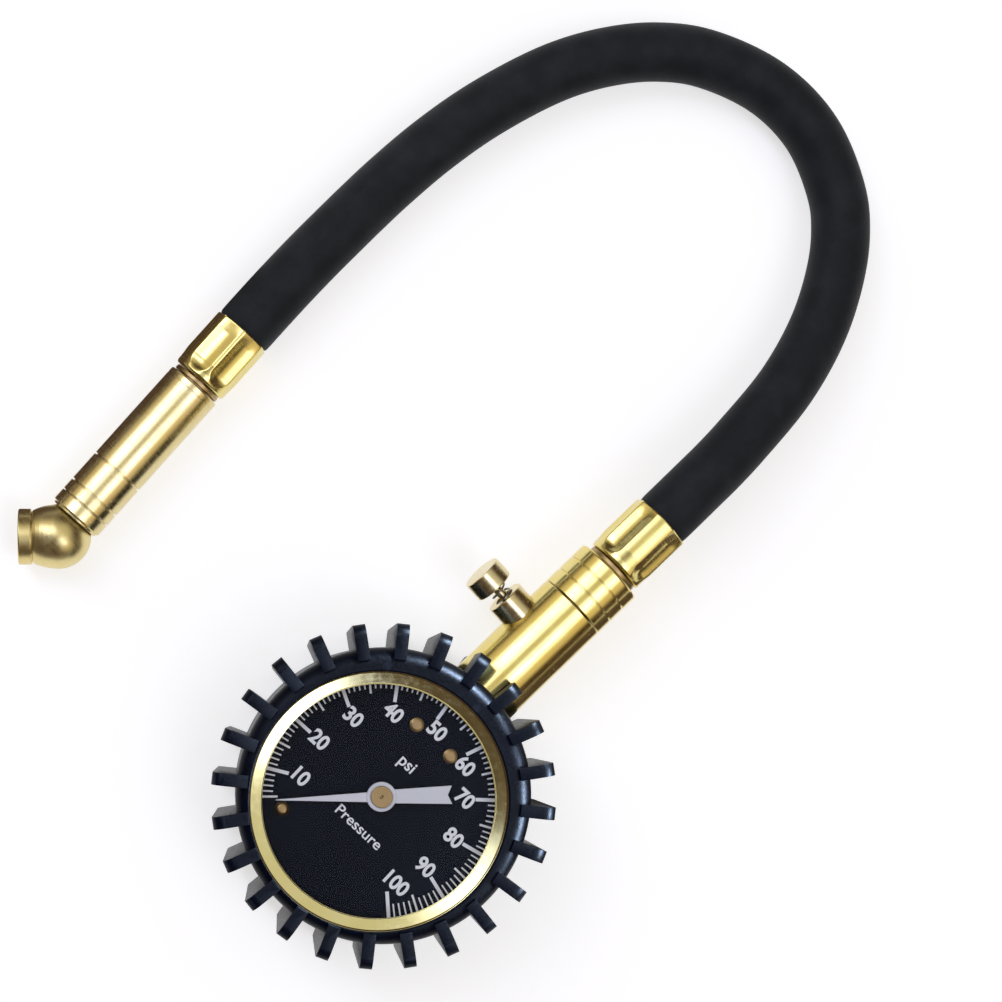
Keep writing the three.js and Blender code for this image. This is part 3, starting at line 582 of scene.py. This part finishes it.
def make_boot():
    """The cup and its fins as one skin, then hollowed for the case and holed for the stem."""
    body = solid_mesh([
        (0, 0), (BOOT_BACK_R - 0.1, 0, 1.6), (BOOT_R, BOOT_FRONT, 3.1), (0, BOOT_FRONT),
    ])
    root = 26
    fin_back = 1.3
    outline = rounded([
        (root, fin_back, 0), (FIN_BACK_R, fin_back, 1.0), (FIN_R, FIN_FRONT, 2.3), (root, FIN_FRONT, 0),
    ], True)
    half = FIN_THICKNESS / 2
    fins = []
    for i in range(FIN_COUNT):
        shape = prism_bmesh([(r, h) for r, h in outline], -half, half, 0.22)
        angle = 90 + FIN_TURN + 360 / FIN_COUNT * (i + 0.5)
        fins.append((shape, turn_z(angle) @ Matrix.Rotation(pi / 2, 4, "X")))
    whole = boolean(body, joined(fins), "UNION")
    whole.transform(Matrix.Translation((0, BOOT_Y * MM, 0)))
    floor, under_lip, above = 2.3, 26.2, 30
    cavity = solid_mesh([
        (0, floor), (BOOT_INNER_R, floor, 0), (BOOT_INNER_R, under_lip, 0), (LIP_R, under_lip, 0),
        (LIP_R, BOOT_FRONT - 0.3, 0), (LIP_R + 0.4, BOOT_FRONT + 0.1, 0), (LIP_R + 0.4, above, 0),
        (0, above),
    ])
    whole = boolean(whole, cavity, "DIFFERENCE")
    stem_hole = rod(STEM_HOLE_R, STEM @ Matrix.Translation((0, 0, 30)))
    whole = boolean(whole, stem_hole, "DIFFERENCE")
    add_mesh("boot_finned", whole, "gauge", materials["boot"], ["rubber_boot"], 30)


def make_bezel_and_lens():
    lathe("bezel_gold", [
        (23.4, 21.6, 0), (24.2, 21.6, 0), (24.2, 24.7, 0), (25.4, 24.7, 0), (25.4, 25.9, 0.25),
        (24.6, 25.95, 0.2), (24.35, 25.7, 0.25), (22.35, 25.3, 0.15), (22.1, 25.42, 0.1),
        (22.1, 25.05, 0), (23.4, 25.05, 0),
    ], UPRIGHT, "gauge", materials["bezel"], ["bezel_ring"], 256)
    lathe("lens_pane", [(0, 23.75), (23.1, 23.75, 0.1), (23.1, 24.75, 0.25), (0, 24.75)], UPRIGHT,
          "gauge", materials["lens"], ["lens"], 160)


# ---- dial ----
FIRST_PSI = 5
LAST_PSI = 100
FIRST_ANGLE = -133.0
DEGREES_PER_PSI = 2.8
PRINT_HEIGHT = 0.04


def scale_angle(psi):
    """Clockwise from the top of the scale."""
    return FIRST_ANGLE + DEGREES_PER_PSI * (psi - FIRST_PSI)


def tick_size(psi):
    """A mark's inner radius and width: long at each ten, shorter at each five, shortest between."""
    if psi % 10 == 0:
        return 18.15, 0.68
    if psi % 5 == 0:
        return 19.7, 0.42
    return 20.6, 0.30


def make_scale():
    shapes = []
    low, high = DIAL_FRONT - 0.01, DIAL_FRONT + PRINT_HEIGHT
    outer = 23.6
    for psi in range(FIRST_PSI, LAST_PSI + 1):
        inner, width = tick_size(psi)
        half = width / 2
        tick = prism_bmesh([(-half, inner), (half, inner), (half, outer), (-half, outer)], low, high)
        shapes.append((tick, DIAL @ turn_z(-scale_angle(psi))))
    add_mesh("scale_ticks", joined(shapes), "gauge", materials["print"])


def lettering(text, height, width, bold, centre):
    """Flat letters centred on a point of the dial, as a bmesh and its place."""
    capitals_share = 0.72
    curve = bpy.data.curves.new(text, "FONT")
    curve.body = text
    curve.size = height / capitals_share
    curve.offset = bold
    curve.extrude = (PRINT_HEIGHT + 0.01) / 2
    curve.align_x = "CENTER"
    curve.align_y = "CENTER"
    curve.resolution_u = 6
    letters = bpy.data.objects.new(text, curve)
    bpy.context.collection.objects.link(letters)
    bpy.context.view_layer.update()
    mesh = bpy.data.meshes.new_from_object(letters.evaluated_get(bpy.context.evaluated_depsgraph_get()))
    bpy.data.objects.remove(letters)
    shape = bmesh.new()
    shape.from_mesh(mesh)
    bmesh.ops.remove_doubles(shape, verts=shape.verts, dist=1e-5)
    bpy.data.meshes.remove(mesh)
    middle = DIAL_FRONT + PRINT_HEIGHT - curve.extrude
    place = Matrix.Translation((*centre, middle)) @ Matrix.Diagonal((width, 1, 1, 1))
    return shape, DIAL @ place


def make_numbers():
    """Numbers on a ring inside the marks, three of them turned and moved out to clear the dial screws."""
    numeral_radius = 16.0
    moved_clear = {50: (4.5, 0.3), 60: (6.5, 1.0), 100: (-5.7, 0.7)}
    shapes = []
    for psi in range(10, LAST_PSI + 1, 10):
        turn, out = moved_clear.get(psi, (0, 0))
        x, y = polar(numeral_radius + out, 90 - scale_angle(psi) - turn)
        shapes.append(lettering(str(psi), 2.9, 0.92, 0.13, (x, y)))
    add_mesh("scale_numbers", joined(shapes), "gauge", materials["print"])
    unit = lettering("psi", 2.4, 1.0, 0.05, (-0.5, 7.9))
    word = lettering("Pressure", 2.1, 1.1, 0.03, (0.9, -7.2))
    add_mesh("scale_words", joined([unit, word]), "gauge", materials["print"])


def make_dial():
    back = DIAL_FRONT - 0.5
    lathe("dial_face", [(1.5, back, 0), (24.1, back, 0), (24.1, DIAL_FRONT, 0.1), (1.5, DIAL_FRONT, 0.1)],
          UPRIGHT, "gauge", materials["dial"], ["dial_plate"], 192)
    make_scale()
    make_numbers()


def dome(name, place, head_r, base, top, replaces):
    """A domed pin head on the dial, with its shank."""
    profile = [
        (0, base - 2.6), (0.7, base - 2.6, 0.1), (0.7, base, 0), (head_r, base, 0.12),
        (head_r * 0.98, base + (top - base) * 0.45, 0.5), (head_r * 0.62, top - 0.04, 0.6), (0, top),
    ]
    lathe(name, profile, place, "gauge", materials["dial_brass"], replaces, 48, sharp=60)


def make_dial_pins():
    base = DIAL_FRONT + 0.3
    head_r = 1.45
    for side, x in (("left", -4.4), ("right", 4.4)):
        dome(f"dial_rivet_{side}", DIAL @ Matrix.Translation((x, 14.6, 0)), head_r, base, 22.0,
             [f"dial_screw_{side}"])
    x, y = polar(19, 90 + 139.7)
    dome("stop_pin_head", DIAL @ Matrix.Translation((x, y, 0)), head_r, base, 22.95,
         ["pointer_stop_pin"])


# ---- pointer ----
POINTER_REST = 134.6  # from the top of the scale, against the stop pin


def make_pointer():
    rest = DIAL @ turn_z(POINTER_REST)
    outline = [
        (0.95, 2.2), (0.09, 20.1), (-0.09, 20.1), (-0.95, 2.2), (-1.3, -2.2), (-1.75, -13.5),
        (0, -12.7), (1.75, -13.5), (1.3, -2.2),
    ]
    needle = prism_bmesh(outline, 22.3, 22.7, 0.05, 1)
    add_mesh("needle", joined([(needle, rest)]), "pointer", materials["white"],
             ["pointer_needle"])
    lathe("needle_hub", [
        (0.9, 22.2, 0), (2.85, 22.2, 0.08), (2.85, 22.95, 0.2), (0.9, 22.95, 0),
    ], rest, "pointer", materials["white"], (), 96)
    lathe("needle_cap", [
        (0, 23.05), (2.1, 23.05, 0), (2.1, 23.5, 0.12), (0.34, 23.5, 0.05), (0.2, 23.25, 0.05), (0, 23.2),
    ], rest, "pointer", materials["dial_brass"], ["pointer_cap"], 96)


# ---- stem, collar and fittings ----
def groove(r, at, half=0.18, depth=0.45, edge=0.05):
    """A turned groove, as profile corners going up."""
    return [(r, at - half, edge), (r - depth, at - half, edge), (r - depth, at + half, edge),
            (r, at + half, edge)]


def make_stem():
    """The stem with its bleed bore, the collar that turns on it, and the hose fitting's neck."""
    body, faces = lathe_mesh([
        (5.3, 25.8, 0), (STEM_R, 25.8, 0.1), (STEM_R, 53.05, 0.18), (4.6, 53.05, 0.1), (4.6, 46.9, 0),
        (2.0, 46.9, 0), (2.0, 38.3, 0), (5.3, 38.3, 0),
    ], True, 128)
    mesh = mesh_of("stem", body, faces, STEM)
    bleed_bore = rod(BLEED_BORE_R, BLEEDER @ Matrix.Translation((0, 0, 4.5)), length=9)
    cut = boolean(mesh, bleed_bore, "DIFFERENCE")
    add_mesh("stem_turned", cut, "gauge", materials["stem"], ["stem_body"])
    lathe("collar_turned", [
        (4.6, 53.3, 0), (STEM_R, 53.3, 0.15), *groove(STEM_R, 56.5), *groove(STEM_R, 59.9),
        (STEM_R, 63.3, 0.45), (4.6, 63.3, 0.1),
    ], STEM, "hose_assembly", materials["stem"], ["swivel_collar"])
    lathe("swivel_neck", [
        (1.2, 47.2, 0), (4.2, 47.2, 0.1), (4.2, 49.0, 0), (3.0, 49.0, 0), (3.0, 50.7, 0), (4.2, 50.7, 0),
        (4.2, 63.45, 0), (5.6, 63.45, 0.1), (5.6, 64.3, 0.1), (2.7, 64.3, 0), (2.7, 75.4, 0.3),
        (1.2, 76.1, 0),
    ], STEM, "hose_assembly", materials["fitting"], ["gauge_hose_fitting"], 96)


def flute_depth(height, angle, first_ridge, pitch, count):
    """How deep the crimping dies pressed the ferrule at one point, from 0 to 1.

    The flutes lie side by side from the first ridge on, and what is left of the turn stays a flat land.
    Each is a trough that ends in a half round near the ferrule's closed end.
    """
    along = (angle - first_ridge) % 360
    if along > pitch * count:
        return 0.0
    half = HOSE_R * radians(pitch / 2)
    lateral = HOSE_R * radians(abs(along % pitch - pitch / 2))
    before = FLUTE_START + half - height
    reach = hypot(lateral, before) if before > 0 else lateral
    share = reach / (half - RIDGE_HALF)
    return (1 - share * share) ** 1.1 if share < 1 else 0.0


def make_ferrule(name, outer, start, place, first_ridge, pitch, count, replaces):
    """A drawn cup round the hose's end, pressed into flutes that fade toward its mouth."""
    inner = outer - FERRULE_WALL
    flare = 0.3
    shoulder = outer - flare
    shoulder_fillet = 1.3
    profile = [(2.9, start, 0), (shoulder, start, shoulder_fillet)]
    first, last = start + 1.4, start + FERRULE_LENGTH - 0.15
    rows = 80
    for i in range(rows):
        share = i / (rows - 1)
        widened = flare * min(1.0, share * 5)
        profile.append((shoulder + widened, first + (last - first) * share, 0))
    end = start + FERRULE_LENGTH
    profile += [(outer - 0.08, end, 0), (inner + 0.1, end, 0), (inner, end - 0.1, 0),
                (inner, start + 2.0, 0), (inner - 0.6, start + 1.0, 0), (2.9, start + 1.0, 0)]

    fade_length = 2.5

    def pressed(r, h, angle):
        if r < inner - 0.1 or h < start + 0.3:
            return r
        fade = 1 - 0.5 * max(0.0, (h - end + fade_length) / fade_length)
        return r - FLUTE_DEPTH * fade * flute_depth(h - start, angle, first_ridge, pitch, count)

    lathe(name, profile, place, "hose_assembly", materials["ferrule"], replaces, 360,
          sharp=50, radius_of=pressed)


# ---- bleeder ----
def make_bleeder():
    """The boss, which sits on the stem like a saddle, and the button with its pin."""
    bore_r, boss_start = 1.25, 4.9
    boss, faces = lathe_mesh([
        (bore_r, boss_start, 0), (BLEED_BOSS_R, boss_start, 0), (BLEED_BOSS_R, BLEED_BOSS_END, 0.3),
        (BLEED_WELL_R, BLEED_BOSS_END, 0.15), (BLEED_WELL_R, BLEED_WELL_FLOOR, 0),
        (bore_r, BLEED_WELL_FLOOR, 0),
    ], True, 96)
    mesh = mesh_of("boss", boss, faces, BLEEDER)
    saddle = rod(STEM_R + 0.05, STEM @ Matrix.Translation((0, 0, BLEED_Y)), segments=128)
    cut = boolean(mesh, saddle, "DIFFERENCE")
    add_mesh("bleeder_boss", cut, "gauge", materials["bleeder"], ["bleed_bushing"], 30)
    pin_r, pin_start = 0.95, 2.3
    lathe("bleeder_cap", [
        (0, pin_start), (pin_r, pin_start, 0.1), (pin_r, BLEED_CAP_START, 0.1),
        (BLEED_CAP_R, BLEED_CAP_START, 0.25), (BLEED_CAP_R, BLEED_CAP_END, 0.3), (0, BLEED_CAP_END),
    ], BLEEDER, "bleed_button", materials["bleeder"], ["bleed_button"], 96)


def make_bleeder_spring():
    """A short wire coil from the boss's well to the cap."""
    wire, coil, turns = 0.2, 1.75, 2.2
    low, high = BLEED_WELL_FLOOR + 0.15, BLEED_CAP_START - 0.1
    steps, sides = 120, 10
    points = []
    for i in range(steps + 1):
        angle = 360 * turns * i / steps
        x, y = polar(coil, angle)
        height = low + wire + (high - low - 2 * wire) * i / steps
        outward = Vector((x, y, 0)).normalized()
        for j in range(sides):
            a, b = polar(wire, 360 * j / sides)
            points.append(Vector((x, y, height)) + outward * a + Vector((0, 0, b)))
    spring = add_piece("bleeder_coil", points, tube_faces(steps + 1, sides), BLEEDER, "gauge",
                       materials["steel"], ["bleed_spring"])
    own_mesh(spring)


# ---- air chuck ----
def make_chuck():
    """The hose fitting's neck, the long grooved sleeve, and the ring that turns with the ball."""
    lathe("chuck_neck", [
        (1.2, 30.9, 0), (4.0, 30.9, 0), (4.0, 39.65, 0), (5.1, 39.65, 0.15), (5.1, 40.5, 0.15),
        (2.7, 40.5, 0), (2.7, 52.0, 0.3), (1.2, 52.7, 0),
    ], CHUCK, "hose_assembly", materials["fitting"], ["chuck_hose_fitting"], 96)
    lathe("sleeve_turned", [
        (3.0, 7.63, 0), (5.1, 7.63, 0), (5.1, 7.78, 0), (SLEEVE_R, 7.78, 0.15),
        *groove(SLEEVE_R, 10.3), *groove(SLEEVE_R, 16.9), *groove(SLEEVE_R, 38.05, 0.06, 0.1, 0.02),
        (SLEEVE_R, 39.4, 0.3), (4.4, 39.4, 0.1), (4.4, 30.5, 0), (3.4, 30.5, 0), (3.4, 14.5, 0),
        (3.0, 14.5, 0),
    ], CHUCK, "hose_assembly", materials["chuck"], ["chuck_sleeve"])
    lathe("swivel_ring_turned", [
        (4.9, 4.5, 0.05), (5.15, 4.5, 0.1), (5.2, 4.95, 0.1), (SLEEVE_R, 5.15, 0.15),
        (SLEEVE_R, 7.6, 0.12), (3.0, 7.6, 0), (3.0, 6.9, 0), (3.2, 6.25, 0), (4.0, 5.65, 0),
    ], CHUCK, "chuck", materials["chuck"], ["chuck_swivel_ring"])


def make_chuck_head():
    """The ball with its mouth, as one turned shape about the mouth's axis, and the neck behind it."""
    profile = [(0, -BALL_R)]
    join_height = 1.1
    steps = 48
    first = -90.0
    last = degrees(asin(join_height / BALL_R))
    for i in range(1, steps + 1):
        r, h = polar(BALL_R, first + (last - first) * i / steps)
        profile.append((r, h, 0))
    profile += [
        (6.1, 1.85, 1.5), (5.95, 2.7, 1.5), (5.72, 3.5, 1.5), (5.42, 4.3, 1.5), (5.1, 4.95, 0.25),
        (4.9, 5.0, 0.02), (4.9, 5.2, 0.02), (5.42, 5.22, 0.1), (5.42, 7.65, 0.25), (4.1, 7.65, 0.3),
        (4.1, -1.0, 0), (0, -1.0),
    ]
    head, faces = lathe_mesh(profile, False, 128)
    mesh = mesh_of("head", head, faces, MOUTH)
    weld(mesh)
    neck = rod(2.6, CHUCK @ Matrix.Translation((0, 0, 8.5)), length=9, segments=64)
    whole = boolean(mesh, neck, "UNION")
    add_mesh("ball_head", whole, "chuck", materials["ball"], ["chuck_head"], 30)
    lathe("mouth_washer", [(1.5, -0.7, 0), (3.95, -0.7, 0), (3.95, 1.1, 0.3), (1.5, 1.1, 0.4)], MOUTH,
          "chuck", materials["seal"], ["chuck_seal"], 64)
    lathe("valve_pin", [(0, -3.2), (0.8, -3.2, 0), (0.8, 1.4, 0.25), (0, 1.4)], MOUTH, "chuck",
          materials["ball"], ["depressor_pin"], 48)


make_boot()
make_bezel_and_lens()
make_dial()
make_dial_pins()
make_pointer()
make_stem()
make_ferrule("ferrule_crimped_gauge", FERRULE_R, FERRULE_START, STEM, 289.1, 46.7, 7, ["gauge_ferrule"])
make_ferrule("ferrule_crimped_chuck", CHUCK_FERRULE_R, CHUCK_FERRULE_START, CHUCK, 274.6, 360 / 7, 7,
             ["chuck_ferrule"])
make_bleeder()
make_bleeder_spring()
make_chuck()
make_chuck_head()


# ---- inner pieces keep their CAD shape ----
def finish_inner_nodes():
    finishes = {
        "gauge_case": "case", "tube_socket": "movement", "tube_tip": "movement", "bourdon_tube": "bronze",
        "hairspring": "bronze", "movement_base_plate": "movement", "movement_top_plate": "movement",
        "movement_pillar_left": "movement", "movement_pillar_right": "movement",
        "movement_pillar_rear": "movement", "pinion": "movement", "sector_gear": "movement",
        "connecting_link": "steel", "bleed_seal": "seal", "swivel_o_ring": "seal", "chuck_o_ring": "seal",
        "check_valve_poppet": "movement", "check_valve_spring": "steel",
    }
    for node, finish in finishes.items():
        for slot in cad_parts[node].material_slots:
            slot.material = materials[finish]


finish_inner_nodes()


# ---- floor and light ----
FLOOR_GLOW = 0.64


def make_floor():
    """A pale floor that glows a little, set just under the boot's flat back."""
    shape = bmesh.new()
    bmesh.ops.create_grid(shape, x_segments=1, y_segments=1, size=3.0)
    mesh = bpy.data.meshes.new("floor")
    shape.to_mesh(mesh)
    shape.free()
    paint = Paint("floor_white", (0.62, 0.62, 0.62), 0.9)
    paint.shader.inputs["Specular IOR Level"].default_value = 0.0
    paint.shader.inputs["Emission Color"].default_value = (1.0, 1.0, 1.0, 1)
    paint.shader.inputs["Emission Strength"].default_value = FLOOR_GLOW
    mesh.materials.append(paint.material)
    floor = bpy.data.objects.new("floor", mesh)
    bpy.context.collection.objects.link(floor)
    floor.location.z = -0.1 * MM


class Sky:
    """A studio painted on the world: soft patches of light over a dim room."""

    def __init__(self):
        world = bpy.data.worlds.new("studio")
        bpy.context.scene.world = world
        world.use_nodes = True
        self.tree = world.node_tree
        self.background = self.tree.nodes["Background"]
        self.direction = self.tree.nodes.new("ShaderNodeTexCoord").outputs["Generated"]
        self.total = None

    def facing(self, towards):
        node = self.tree.nodes.new("ShaderNodeVectorMath")
        node.operation = "DOT_PRODUCT"
        self.tree.links.new(self.direction, node.inputs[0])
        node.inputs[1].default_value = Vector(towards).normalized()
        return node.outputs["Value"]

    def glow(self, towards, core, edge, colour):
        """Adds a patch of light about a direction, full inside core degrees and gone at edge."""
        fade = self.tree.nodes.new("ShaderNodeMapRange")
        fade.interpolation_type = "SMOOTHERSTEP"
        fade.inputs["From Min"].default_value = cos(radians(edge))
        fade.inputs["From Max"].default_value = cos(radians(core))
        self.tree.links.new(self.facing(towards), fade.inputs["Value"])
        scale = self.tree.nodes.new("ShaderNodeVectorMath")
        scale.operation = "SCALE"
        scale.inputs[0].default_value = colour
        self.tree.links.new(fade.outputs["Result"], scale.inputs["Scale"])
        if self.total is None:
            self.total = scale.outputs["Vector"]
            return
        add = self.tree.nodes.new("ShaderNodeVectorMath")
        self.tree.links.new(self.total, add.inputs[0])
        self.tree.links.new(scale.outputs["Vector"], add.inputs[1])
        self.total = add.outputs["Vector"]

    def close(self):
        self.tree.links.new(self.total, self.background.inputs["Color"])


def towards(right, up):
    """A direction leaning from overhead to the picture's right and its top."""
    return PICTURE_RIGHT * right + PICTURE_UP * up + Vector((0, 0, 1))


def make_light():
    """A dim warm room, a soft box, and a row of small cool boxes with a warm one at each end."""
    sky = Sky()
    room, ceiling, soft_box = (0.062, 0.036, 0.026), (0.04, 0.035, 0.02), (0.62, 0.60, 0.50)
    cool_box, warm_left, warm_right = (1.9, 2.1, 2.9), (0.72, 0.64, 0.46), (0.80, 0.68, 0.46)
    sky.glow(towards(0, 0), 179, 180, room)
    sky.glow(towards(0, 0), 10, 80, ceiling)
    sky.glow(towards(0.30, 0.30), 12, 42, soft_box)
    for side in (-0.26, -0.46, -0.68, 0.24, 0.42):
        sky.glow(towards(side, -side), 3, 14, cool_box)
    sky.glow(towards(-0.95, 0.95), 8, 34, warm_left)
    sky.glow(towards(0.72, -0.72), 8, 27, warm_right)
    sky.close()


def make_rim_light():
    """Two cool soft boxes low beyond the dial, which put a thin gloss on the rubber boot's edges."""
    lit = bpy.data.collections.new("rim_lit")
    lit.objects.link(bpy.data.objects["boot_finned"])
    for name, place, energy in (("rim_far", (-30, 330, 230), 18.0), ("rim_right", (270, 200, 190), 12.0)):
        data = bpy.data.lights.new(name, "AREA")
        data.shape = "DISK"
        data.size = 0.16
        data.energy = energy
        data.color = (0.55, 0.72, 1.0)
        lamp = bpy.data.objects.new(name, data)
        bpy.context.collection.objects.link(lamp)
        lamp.location = Vector(place) * MM
        lamp.visible_diffuse = False
        aim = Vector((0, BOOT_Y, BOOT_FRONT)) * MM - lamp.location
        lamp.rotation_euler = aim.to_track_quat("-Z", "Y").to_euler()
        lamp.light_linking.receiver_collection = lit


def make_flag(name, corners):
    """A dark card that only reflections see: painted shade lying just above the floor beside a piece,
    which gives the metal its dark bands as a black flag beside the set would.
    """
    mesh = mesh_of(name, corners, [(0, 1, 2, 3)], UPRIGHT)
    paint = Paint(name, (0.10, 0.055, 0.04), 0.9)
    mesh.materials.append(paint.material)
    card = bpy.data.objects.new(name, mesh)
    bpy.context.collection.objects.link(card)
    card.visible_camera = False
    card.visible_diffuse = False
    card.visible_shadow = False


make_floor()
make_light()
make_rim_light()
# Painted shade on the floor beside the stem and beside the chuck, which only the metal's reflections see.
make_flag("shade_card_by_stem", [(20, 20, 0.6), (20, 84, 0.6), (1500, 84, 0.6), (1500, 20, 0.6)])
make_flag("shade_card_by_chuck", [(-88, -25, 0.5), (-88, 56, 0.5), (-1500, 56, 0.5), (-1500, -25, 0.5)])
bpy.context.scene.view_settings.view_transform = "Standard"
